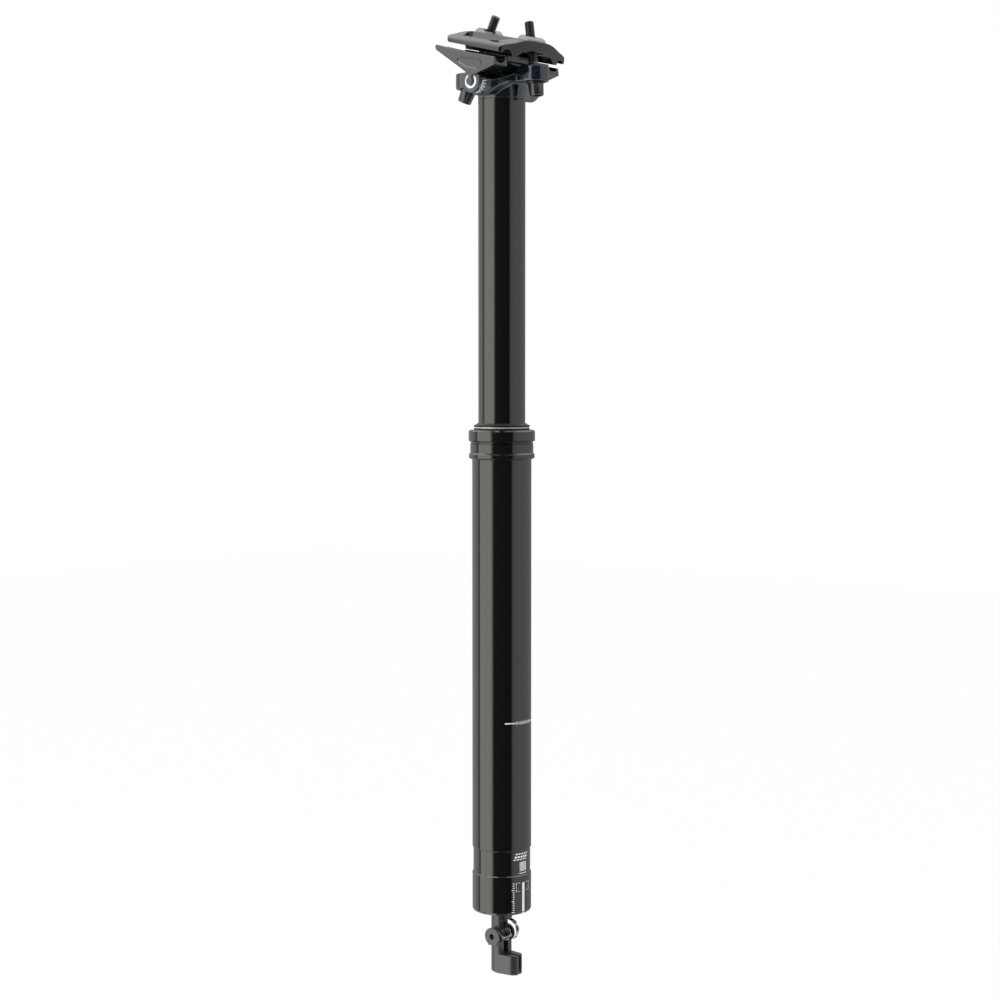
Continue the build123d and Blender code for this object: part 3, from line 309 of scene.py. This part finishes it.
FINISHES = {
    "tube_black": dict(
        colour=(0.0034, 0.0034, 0.0026), roughness=0.055, ior=1.95, grain=1500.0, stretch=0.02, bump=0.012,
        rough_change=0.02, smudge=25.0, tint=(1.0, 1.0, 0.94)),
    "head_black": dict(
        colour=(0.0048, 0.0082, 0.0125), worn_colour=(0.10, 0.11, 0.13), roughness=0.10, ior=2.0,
        grain=700.0, bump=0.03, rough_change=0.04, wear=0.2, wear_width=0.0004, smudge=110.0,
        tint=(0.88, 0.96, 1.0), wave=0.35),
    "cradle_black": dict(
        colour=(0.0062, 0.0065, 0.0055), worn_colour=(0.13, 0.13, 0.12), roughness=0.16, ior=1.95,
        grain=700.0, bump=0.03, rough_change=0.04, wear=0.2, wear_width=0.0004, smudge=60.0,
        tint=(0.97, 1.0, 0.95), wave=0.3),
    "clamp_black": dict(
        colour=(0.0055, 0.0058, 0.0052), worn_colour=(0.13, 0.13, 0.12), roughness=0.12, ior=1.75,
        grain=700.0, bump=0.03, rough_change=0.04, wear=0.2, wear_width=0.0004, smudge=60.0,
        tint=(0.97, 1.0, 0.97), wave=0.3),
    "cast_grey": dict(
        colour=(0.024, 0.026, 0.023), worn_colour=(0.07, 0.07, 0.065), roughness=0.30, ior=1.88,
        grain=2600.0, bump=0.12, rough_change=0.08, wear=0.4, wear_width=0.0003, smudge=220.0, spread=0.1),
    "bolt_black": dict(
        colour=(0.012, 0.012, 0.0125), worn_colour=(0.12, 0.12, 0.115), roughness=0.17, ior=1.9,
        grain=1800.0, bump=0.08, rough_change=0.08, wear=0.35, wear_width=0.00012, smudge=300.0),
    "nut_steel": dict(
        colour=(0.30, 0.30, 0.29), worn_colour=(0.55, 0.55, 0.53), roughness=0.27, metallic=1.0,
        grain=1500.0, bump=0.1, rough_change=0.1, wear=0.3, wear_width=0.0002, smudge=250.0),
    "bright_steel": dict(
        colour=(0.62, 0.62, 0.61), roughness=0.22, metallic=1.0, grain=1600.0, stretch=0.3, bump=0.06,
        rough_change=0.08, smudge=150.0),
    "polished_chrome": dict(
        colour=(0.88, 0.88, 0.9), roughness=0.05, metallic=1.0, grain=900.0, bump=0.015, rough_change=0.03,
        smudge=120.0, spread=0.04),
    "plain_aluminium": dict(
        colour=(0.55, 0.56, 0.57), roughness=0.32, metallic=1.0, grain=1200.0, stretch=6.0, bump=0.1,
        rough_change=0.08),
    "ring_steel": dict(
        colour=(0.72, 0.72, 0.70), roughness=0.32, metallic=0.35, grain=1600.0, bump=0.05,
        rough_change=0.08, smudge=150.0, spread=0.05),
    "brass": dict(
        colour=(0.62, 0.43, 0.17), roughness=0.28, metallic=1.0, grain=1400.0, bump=0.08, rough_change=0.08),
    "seal_rubber": dict(
        colour=(0.012, 0.012, 0.0125), roughness=0.42, grain=1800.0, bump=0.12, rough_change=0.1,
        smudge=200.0),
    "bearing_plastic": dict(
        colour=(0.03, 0.03, 0.032), roughness=0.5, grain=1500.0, bump=0.1, rough_change=0.1),
    "ring_white": dict(
        colour=(0.78, 0.78, 0.77), roughness=0.45, grain=1500.0, bump=0.06, rough_change=0.08, spread=0.03),
    "print_white": dict(
        colour=(0.86, 0.86, 0.85), roughness=0.5, grain=3000.0, bump=0.05, rough_change=0.1, spread=0.08),
}
MATERIALS = {name: finish_material(name, **finish) for name, finish in FINISHES.items()}

NODE_FINISH = {
    "outer_tube": "tube_black", "seal_collar": "tube_black", "bottom_cap": "tube_black",
    "stanchion": "tube_black", "post_head": "head_black", "lower_cradle": "cradle_black",
    "upper_clamp": "clamp_black", "actuator_body": "cast_grey", "pivot_bolt": "cast_grey",
    "release_lever": "polished_chrome", "cable_barrel": "polished_chrome", "cartridge_rod": "polished_chrome",
    "wiper_seal": "seal_rubber", "collar_o_ring": "seal_rubber", "cap_o_ring": "seal_rubber",
    "rod_seal": "seal_rubber", "floating_piston_ring": "seal_rubber", "top_out_washer": "seal_rubber",
    "seal_ring": "ring_steel", "front_barrel_nut": "nut_steel", "rear_barrel_nut": "nut_steel",
    "lever_return_spring": "bright_steel", "valve_spring": "bright_steel", "release_pin": "bright_steel",
    "rod_nut": "bright_steel", "valve_poppet": "bright_steel", "front_clamp_bolt": "bolt_black",
    "rear_clamp_bolt": "bolt_black", "front_spherical_washer": "bolt_black",
    "rear_spherical_washer": "bolt_black", "barrel_grub_screw": "bolt_black", "lever_bush": "brass",
    "anti_rotation_keys": "brass", "upper_bushing": "bearing_plastic", "lower_bushing": "bearing_plastic",
    "piston_ring": "bearing_plastic", "floating_piston": "bearing_plastic", "pivot_rings": "ring_white",
    "stanchion_end_ring": "plain_aluminium", "cartridge_body": "plain_aluminium",
    "cartridge_top_plug": "plain_aluminium", "cartridge_seal_head": "plain_aluminium",
    "cartridge_piston": "plain_aluminium",
}

# Rounded edges of the pieces that show, in millimetres
EDGE_ROUND = {
    "seal_collar": 0.2, "bottom_cap": 0.08, "actuator_body": 0.3, "outer_tube": 0.1, "pivot_bolt": 0.2,
    "release_lever": 0.6, "front_barrel_nut": 0.2, "rear_barrel_nut": 0.2, "seal_ring": 0.35,
    "wiper_seal": 0.15,
}
EDGE_ANGLE = math.radians(28)
# Forgings: how often their surface is smoothed, which rounds all edges and hollows softly
FORGED_SMOOTHING = {"post_head": 40, "lower_cradle": 16, "upper_clamp": 16}
FORGED_CELL = 0.22
FORGED_FACTOR = 0.5
BEVEL_SEGMENTS = 3

for node_name, finish in NODE_FINISH.items():
    node = frame["nodes"][node_name]
    node.data.materials.clear()
    node.data.materials.append(MATERIALS[finish])
    if node_name in EDGE_ROUND:
        bevel = node.modifiers.new("edge_round", "BEVEL")
        bevel.width = EDGE_ROUND[node_name] * MM
        bevel.segments = BEVEL_SEGMENTS
        bevel.limit_method = "ANGLE"
        bevel.angle_limit = EDGE_ANGLE
        bevel.use_clamp_overlap = True
        bevel.harden_normals = True
    if node_name in FORGED_SMOOTHING:
        skin = node.modifiers.new("forged_skin", "REMESH")
        skin.mode = "VOXEL"
        skin.voxel_size = FORGED_CELL * MM
        skin.use_smooth_shade = True
        soften = node.modifiers.new("forged_edges", "SMOOTH")
        soften.factor = FORGED_FACTOR
        soften.iterations = FORGED_SMOOTHING[node_name]


# New pieces

def add_piece(name, mesh, finish, body):
    """A new visible piece with a finish, which moves with a body."""
    piece = bpy.data.objects.new(name, mesh)
    bpy.context.scene.collection.objects.link(piece)
    mesh.materials.append(MATERIALS[finish])
    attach(piece, body)
    return piece


def mesh_from(name, points, faces, smooth=True):
    """Mesh from points in millimetres, with its faces turned outwards."""
    mesh = bpy.data.meshes.new(name)
    mesh.from_pydata([tuple(Vector(p) * MM) for p in points], [], faces)
    mesh.update()
    work = bmesh.new()
    work.from_mesh(mesh)
    bmesh.ops.recalc_face_normals(work, faces=work.faces)
    work.to_mesh(mesh)
    work.free()
    for polygon in mesh.polygons:
        polygon.use_smooth = smooth
    return mesh


def joint_place(name):
    """Where a joint of the frame lies, in millimetres."""
    joint = next(j for j in frame["joints"] if j["name"] == name)
    return Vector(joint["pos_m"]) / MM


# Clamp bolts with their threads

def thread_depth_at(below_tip, turn):
    """How deep the thread is cut, so far below the tip and at that share of a turn."""
    phase = (below_tip / BOLT_PITCH + turn) % 1.0
    groove = (abs(2 * phase - 1) - THREAD_CREST) / (1 - 2 * THREAD_CREST)
    run_out = min(1.0, (THREAD_LENGTH - below_tip) / (2 * BOLT_PITCH))
    return THREAD_DEPTH * min(1.0, max(0.0, groove)) * run_out


def bolt_rows(length):
    """Rows of a bolt from its tip to the floor of its socket, each a height and a radius for every side."""
    sides = range(BOLT_SIDES)
    rows = []

    def plain(height, radius):
        rows.append((height, [radius] * BOLT_SIDES))

    plain(length, BOLT_RADIUS - BOLT_TIP_CHAMFER)
    for i in range(1, int(THREAD_LENGTH / BOLT_PITCH * THREAD_STEPS) + 1):
        below = i * BOLT_PITCH / THREAD_STEPS
        limit = BOLT_RADIUS - BOLT_TIP_CHAMFER + below
        rows.append((length - below, [min(limit, BOLT_RADIUS - thread_depth_at(below, k / BOLT_SIDES))
                                      for k in sides]))
    plain(BOLT_HEAD_TOP, BOLT_RADIUS)
    plain(BOLT_HEAD_TOP, BOLT_HEAD_RADIUS - BOLT_EDGE)
    fall = (BOLT_HEAD_RADIUS - BOLT_HEAD_END_RADIUS) / BOLT_HEAD_HEIGHT
    head_end = BOLT_HEAD_TOP - BOLT_HEAD_HEIGHT
    for i in range(1, HEAD_ROUND_STEPS + 1):
        turn = TURN / 4 * i / HEAD_ROUND_STEPS
        plain(BOLT_HEAD_TOP - BOLT_EDGE * (1 - math.cos(turn)),
              BOLT_HEAD_RADIUS - BOLT_EDGE * (1 - math.sin(turn)) - fall * BOLT_EDGE)
    for i in range(HEAD_ROUND_STEPS + 1):
        turn = TURN / 4 * i / HEAD_ROUND_STEPS
        plain(head_end + BOLT_EDGE * (1 - math.sin(turn)),
              BOLT_HEAD_END_RADIUS - BOLT_EDGE * (1 - math.cos(turn)))
    for height, more in ((head_end, SOCKET_CHAMFER), (head_end + SOCKET_CHAMFER, 0.0),
                         (head_end + SOCKET_DEPTH, 0.0)):
        flat = SOCKET_WIDTH / 2 + more
        rows.append((height, [flat / math.cos((k / BOLT_SIDES * TURN) % (TURN / 6) - TURN / 12)
                              for k in sides]))
    return rows


def threaded_bolt(name, length, end, node):
    """A clamp bolt from its seat under an ear up through its barrel nut."""
    seat, nut = joint_place(end + "_bolt_swing"), joint_place(end + "_nut_turn")
    rows = bolt_rows(length)
    lean = math.atan2(nut.x - seat.x, nut.z - seat.z)
    place = Matrix.Translation(seat) @ Matrix.Rotation(lean, 4, "Y")
    points, faces = [], []
    for height, radii in rows:
        for k, radius in enumerate(radii):
            turn = TURN * k / BOLT_SIDES
            points.append(place @ Vector((radius * math.cos(turn), radius * math.sin(turn), height)))
    for i in range(len(rows) - 1):
        for k in range(BOLT_SIDES):
            a, b = i * BOLT_SIDES + k, i * BOLT_SIDES + (k + 1) % BOLT_SIDES
            faces.append((a, b, b + BOLT_SIDES, a + BOLT_SIDES))
    last = (len(rows) - 1) * BOLT_SIDES
    for first, height in ((0, rows[0][0]), (last, rows[-1][0])):
        middle = len(points)
        points.append(place @ Vector((0.0, 0.0, height)))
        faces += [(first + k, first + (k + 1) % BOLT_SIDES, middle) for k in range(BOLT_SIDES)]
    mesh = mesh_from(name, points, faces)
    mesh.set_sharp_from_angle(angle=THREAD_SHARP)
    bolt = add_piece(name, mesh, "bolt_black", end + "_bolt")
    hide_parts(node)
    return bolt


threaded_bolt("front_threaded_bolt", FRONT_BOLT_LENGTH, "front", "front_clamp_bolt")
threaded_bolt("rear_threaded_bolt", REAR_BOLT_LENGTH, "rear", "rear_clamp_bolt")


def rubber_bead(name, radius, low, high):
    """Soft lip of the wiper over an edge of the bright ring, as one closed round bead."""
    middle, half_tall = (low + high) / 2, (high - low) / 2
    points, faces = [], []
    for k in range(BEAD_SIDES):
        turn = TURN * k / BEAD_SIDES
        for j in range(BEAD_STEPS):
            bend = TURN * j / BEAD_STEPS
            reach, rise = radius + BEAD_HALF_WIDTH * math.cos(bend), half_tall * math.sin(bend)
            points.append((reach * math.cos(turn), reach * math.sin(turn), middle + rise))
    for k in range(BEAD_SIDES):
        a, b = k * BEAD_STEPS, (k + 1) % BEAD_SIDES * BEAD_STEPS
        for j in range(BEAD_STEPS):
            after = (j + 1) % BEAD_STEPS
            faces.append((a + j, b + j, b + after, a + after))
    return add_piece(name, mesh_from(name, points, faces), "seal_rubber", "lower")


ring_low, ring_high = (corner.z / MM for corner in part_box("seal_ring"))
bead_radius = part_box("seal_ring")[1].x / MM - BEAD_SINK
rubber_bead("lower_lip_bead", bead_radius, ring_low - BEAD_SINK, ring_low + BEAD_HEIGHT)
rubber_bead("upper_lip_bead", bead_radius, ring_high - BEAD_HEIGHT, ring_high + BEAD_SINK)


# Printed marks

def surface_tree(*names):
    """What rays are cast on to lay a mark on these nodes, in millimetres."""
    points, faces = [], []
    for name in names:
        first = len(points)
        mesh = frame["nodes"][name].data
        points += [v.co / MM for v in mesh.vertices]
        faces += [tuple(first + i for i in polygon.vertices) for polygon in mesh.polygons]
    return BVHTree.FromPolygons(points, faces)


def round_tube(tree):
    """Places on the outside of an upright tube, by angle round it and height."""
    def place(angle, height):
        turn = math.radians(angle)
        out = Vector((math.cos(turn), math.sin(turn), 0.0))
        return tree.ray_cast(out * RAY_START + Vector((0, 0, height)), -out)[0], out
    return place


def round_barrel(tree, pivot):
    """Places on the outside of the head's cross barrel, by angle round it and reach to the side."""
    def place(angle, side):
        turn = math.radians(angle)
        out = Vector((math.cos(turn), 0.0, math.sin(turn)))
        return tree.ray_cast(pivot + out * RAY_START + Vector((0, side, 0)), -out)[0], out
    return place


class Print:
    """Thin closed patches of paint that follow a surface."""

    def __init__(self, place):
        self.place, self.points, self.faces = place, [], []

    def patch(self, start, end, low, high):
        rows = max(1, math.ceil(abs(end - start) / PRINT_ANGLE_STEP))
        columns = max(1, math.ceil((high - low) / PRINT_LENGTH_STEP))
        first = len(self.points)
        for lift in (-PRINT_SINK, PRINT_LIFT):
            for i in range(rows + 1):
                for j in range(columns + 1):
                    spot, out = self.place(start + (end - start) * i / rows, low + (high - low) * j / columns)
                    self.points.append(spot + out * lift)

        def at(layer, i, j):
            return first + (layer * (rows + 1) + i) * (columns + 1) + j

        for i in range(rows):
            for j in range(columns):
                for layer in (0, 1):
                    self.faces.append((at(layer, i, j), at(layer, i + 1, j), at(layer, i + 1, j + 1),
                                       at(layer, i, j + 1)))
            for j in (0, columns):
                self.faces.append((at(0, i, j), at(0, i + 1, j), at(1, i + 1, j), at(1, i, j)))
        for j in range(columns):
            for i in (0, rows):
                self.faces.append((at(0, i, j), at(0, i, j + 1), at(1, i, j + 1), at(1, i, j)))

    def piece(self, name, body):
        return add_piece(name, mesh_from(name, self.points, self.faces, smooth=False), "print_white", body)


def insertion_line():
    """Line round the tube for the least insertion, with a row of ticks where words would be."""
    paint = Print(round_tube(surface_tree("outer_tube")))
    for start, end in INSERTION_LINE_SPANS:
        paint.patch(start, end, INSERTION_HEIGHT - INSERTION_LINE_HALF,
                    INSERTION_HEIGHT + INSERTION_LINE_HALF)
    for i in range(INSERTION_TICKS):
        middle = -INSERTION_TICK_REACH + 2 * INSERTION_TICK_REACH * i / (INSERTION_TICKS - 1)
        tall = INSERTION_TICK_SHORT if i % 4 else INSERTION_TICK_TALL
        paint.patch(middle - INSERTION_TICK_HALF, middle + INSERTION_TICK_HALF, INSERTION_HEIGHT - tall,
                    INSERTION_HEIGHT + tall)
    return paint.piece("insertion_line", "lower")


def angle_scale():
    """Plain scale for the saddle's tilt, round one end of the cross barrel."""
    paint = Print(round_barrel(surface_tree("post_head"), joint_place("saddle_tilt")))
    start, end = SCALE_TURN
    paint.patch(start, end, SCALE_LINE_SIDE - SCALE_LINE_HALF, SCALE_LINE_SIDE + SCALE_LINE_HALF)
    foot = SCALE_LINE_SIDE + SCALE_LINE_HALF
    for i in range(SCALE_TICKS):
        middle = start + (end - start) * i / (SCALE_TICKS - 1)
        length = SCALE_TICK_LENGTH if i % 2 else SCALE_LONG_TICK_LENGTH
        paint.patch(middle - SCALE_TICK_HALF, middle + SCALE_TICK_HALF, foot, foot + length)
    return paint.piece("angle_scale", "upper")


def cable_length_gauge():
    """Plain line with a dashed frame and a ruler on the bottom cap, for cutting the cable to length."""
    paint = Print(round_tube(surface_tree("bottom_cap")))
    paint.patch(*GAUGE_BAR, GAUGE_LOW, GAUGE_HIGH)
    for height in (GAUGE_FRAME_LOW, GAUGE_HIGH):
        for i in range(GAUGE_DASHES):
            middle = GAUGE_FIRST_DASH + 2 * GAUGE_DASH * i
            if not GAUGE_BAR_CLEAR[0] < middle < GAUGE_BAR_CLEAR[1]:
                paint.patch(middle - GAUGE_DASH / 2, middle + GAUGE_DASH / 2, height - GAUGE_LINE / 2,
                            height + GAUGE_LINE / 2)
    half_turn, half_tall = GAUGE_SIDE_DASH_HALF
    for angle in GAUGE_FRAME_SIDES:
        for i in range(GAUGE_SIDE_DASHES):
            middle = GAUGE_FRAME_LOW + (GAUGE_HIGH - GAUGE_FRAME_LOW) * (i + 0.5) / GAUGE_SIDE_DASHES
            paint.patch(angle - half_turn, angle + half_turn, middle - half_tall, middle + half_tall)
    for i in range(RULER_LINES):
        middle = RULER_LOW + (GAUGE_HIGH - RULER_LOW) * i / (RULER_LINES - 1)
        width = RULER_SHORT if i % 5 else RULER_LONG
        paint.patch(RULER_SIDE - width, RULER_SIDE, middle - RULER_LINE_HALF, middle + RULER_LINE_HALF)
    return paint.piece("cable_length_gauge", "lower")


def size_block():
    """Plain bars and a hatched square on the neck above the cap, where lettering would be."""
    paint = Print(round_tube(surface_tree("outer_tube", "bottom_cap")))
    for middle, start, end, half in BLOCK_ROWS:
        step = (end - start) / BLOCK_BARS
        for i in range(BLOCK_BARS):
            first = start + step * i
            paint.patch(first, first + step * BLOCK_BAR_SHARE, middle - half, middle + half)
    for i in range(HATCH_LINES):
        first = HATCH_START + HATCH_STEP * i
        paint.patch(first, first + HATCH_WIDTH, *HATCH_HEIGHTS)
    paint.patch(*BLOCK_FOOT_LINE)
    return paint.piece("size_block", "lower")


insertion_line()
angle_scale()
cable_length_gauge()
size_block()


# Studio

def aim_camera():
    """The photograph's camera."""
    data = bpy.data.cameras.new("photo_camera")
    data.lens = CAMERA_LENS
    data.sensor_width = SENSOR_WIDTH
    data.shift_x = CAMERA_SHIFT
    data.clip_start = 0.01
    camera = bpy.data.objects.new("photo_camera", data)
    bpy.context.scene.collection.objects.link(camera)
    turn = math.radians(CAMERA_AZIMUTH)
    camera.location = (CAMERA_DISTANCE * math.sin(turn), -CAMERA_DISTANCE * math.cos(turn), CAMERA_HEIGHT)
    camera.rotation_euler = (math.radians(90 - CAMERA_PITCH), 0, turn)
    bpy.context.scene.camera = camera


def studio_world():
    """White all round to the eye. In reflections: white panels with a dark front, as in a product studio."""
    world = bpy.data.worlds.new("studio")
    bpy.context.scene.world = world
    world.use_nodes = True
    nodes = Nodes(world.node_tree)
    background = world.node_tree.nodes["Background"]
    direction = nodes.add("ShaderNodeTexCoord").outputs["Generated"]
    split = nodes.add("ShaderNodeSeparateXYZ", {"Vector": direction}).outputs
    # angle round the object from the camera's side, 0.5 straight at the camera
    polar = math.radians(CAMERA_POLAR)
    ahead = nodes.maths("ADD", nodes.maths("MULTIPLY", split["X"], math.cos(polar)),
                        nodes.maths("MULTIPLY", split["Y"], math.sin(polar)))
    side = nodes.maths("SUBTRACT", nodes.maths("MULTIPLY", split["Y"], math.cos(polar)),
                       nodes.maths("MULTIPLY", split["X"], math.sin(polar)))
    round_angle = nodes.maths("ADD", nodes.maths("DIVIDE", nodes.maths("ARCTAN2", side, ahead), TURN), 0.5)
    panels = nodes.ramp(round_angle, REFLECTION_STOPS)
    height = nodes.maths("ADD", nodes.maths("MULTIPLY", split["Z"], 0.5), 0.5)
    seen = nodes.add("ShaderNodeVectorMath", {0: panels, 1: nodes.ramp(height, HEIGHT_STOPS)},
                     operation="ADD").outputs[0]
    strong = nodes.add("ShaderNodeVectorMath", {0: seen, "Scale": PANEL_STRENGTH},
                       operation="SCALE").outputs[0]
    rays = nodes.add("ShaderNodeLightPath").outputs
    clear = nodes.maths("MAXIMUM", rays["Is Camera Ray"], rays["Is Transmission Ray"])
    spread = nodes.mix(EVEN_SHARE, strong, (EVEN_LIGHT, EVEN_LIGHT, EVEN_LIGHT, 1.0))
    soft = nodes.mix(rays["Is Glossy Ray"], spread, strong)
    colour = nodes.mix(clear, soft, (1.0, 1.0, 1.0, 1.0))
    nodes.feed(background.inputs["Color"], colour)
    background.inputs["Strength"].default_value = 1.0


def soft_box(name, azimuth, distance, height, width, tall, power):
    """A large soft lamp that looks at the object's middle."""
    data = bpy.data.lights.new(name, "AREA")
    data.shape = "RECTANGLE"
    data.size, data.size_y = width, tall
    data.energy = power
    lamp = bpy.data.objects.new(name, data)
    bpy.context.scene.collection.objects.link(lamp)
    turn = math.radians(azimuth)
    lamp.location = (distance * math.sin(turn), -distance * math.cos(turn), height)
    lamp.rotation_euler = (-lamp.location).to_track_quat("-Z", "Y").to_euler()
    lamp.visible_glossy = False


def studio_floor():
    """Plain pale floor, white to the camera."""
    mesh = bpy.data.meshes.new("floor")
    corners = ((-1, -1), (1, -1), (1, 1), (-1, 1))
    mesh.from_pydata([(x * FLOOR_HALF, y * FLOOR_HALF, FLOOR_HEIGHT) for x, y in corners], [], [(0, 1, 2, 3)])
    floor = bpy.data.objects.new("floor", mesh)
    bpy.context.scene.collection.objects.link(floor)
    material = bpy.data.materials.new("floor_white")
    material.use_nodes = True
    nodes = Nodes(material.node_tree)
    tree = material.node_tree
    shader = tree.nodes["Principled BSDF"]
    shader.inputs["Base Color"].default_value = (FLOOR_GREY, FLOOR_GREY, FLOOR_GREY, 1.0)
    shader.inputs["Roughness"].default_value = FLOOR_ROUGHNESS
    glow = nodes.add("ShaderNodeEmission", {"Color": (1.0, 1.0, 1.0, 1.0), "Strength": 1.0})
    rays = nodes.add("ShaderNodeLightPath").outputs
    clear = nodes.maths("MAXIMUM", rays["Is Camera Ray"], rays["Is Transmission Ray"])
    share = nodes.maths("MULTIPLY", clear, FLOOR_CLEAR_SHARE)
    mix = nodes.add("ShaderNodeMixShader", {0: share, 1: shader.outputs[0], 2: glow.outputs[0]})
    tree.links.new(mix.outputs[0], tree.nodes["Material Output"].inputs["Surface"])
    mesh.materials.append(material)
    floor.visible_glossy = False


bpy.context.scene.view_settings.view_transform = "Standard"
aim_camera()
studio_world()
studio_floor()
soft_box("key_left", CAMERA_AZIMUTH - 60, distance=1.6, height=0.5, width=1.0, tall=1.4, power=14.0)
soft_box("fill_right", CAMERA_AZIMUTH + 70, distance=1.6, height=0.3, width=0.8, tall=1.4, power=2.0)
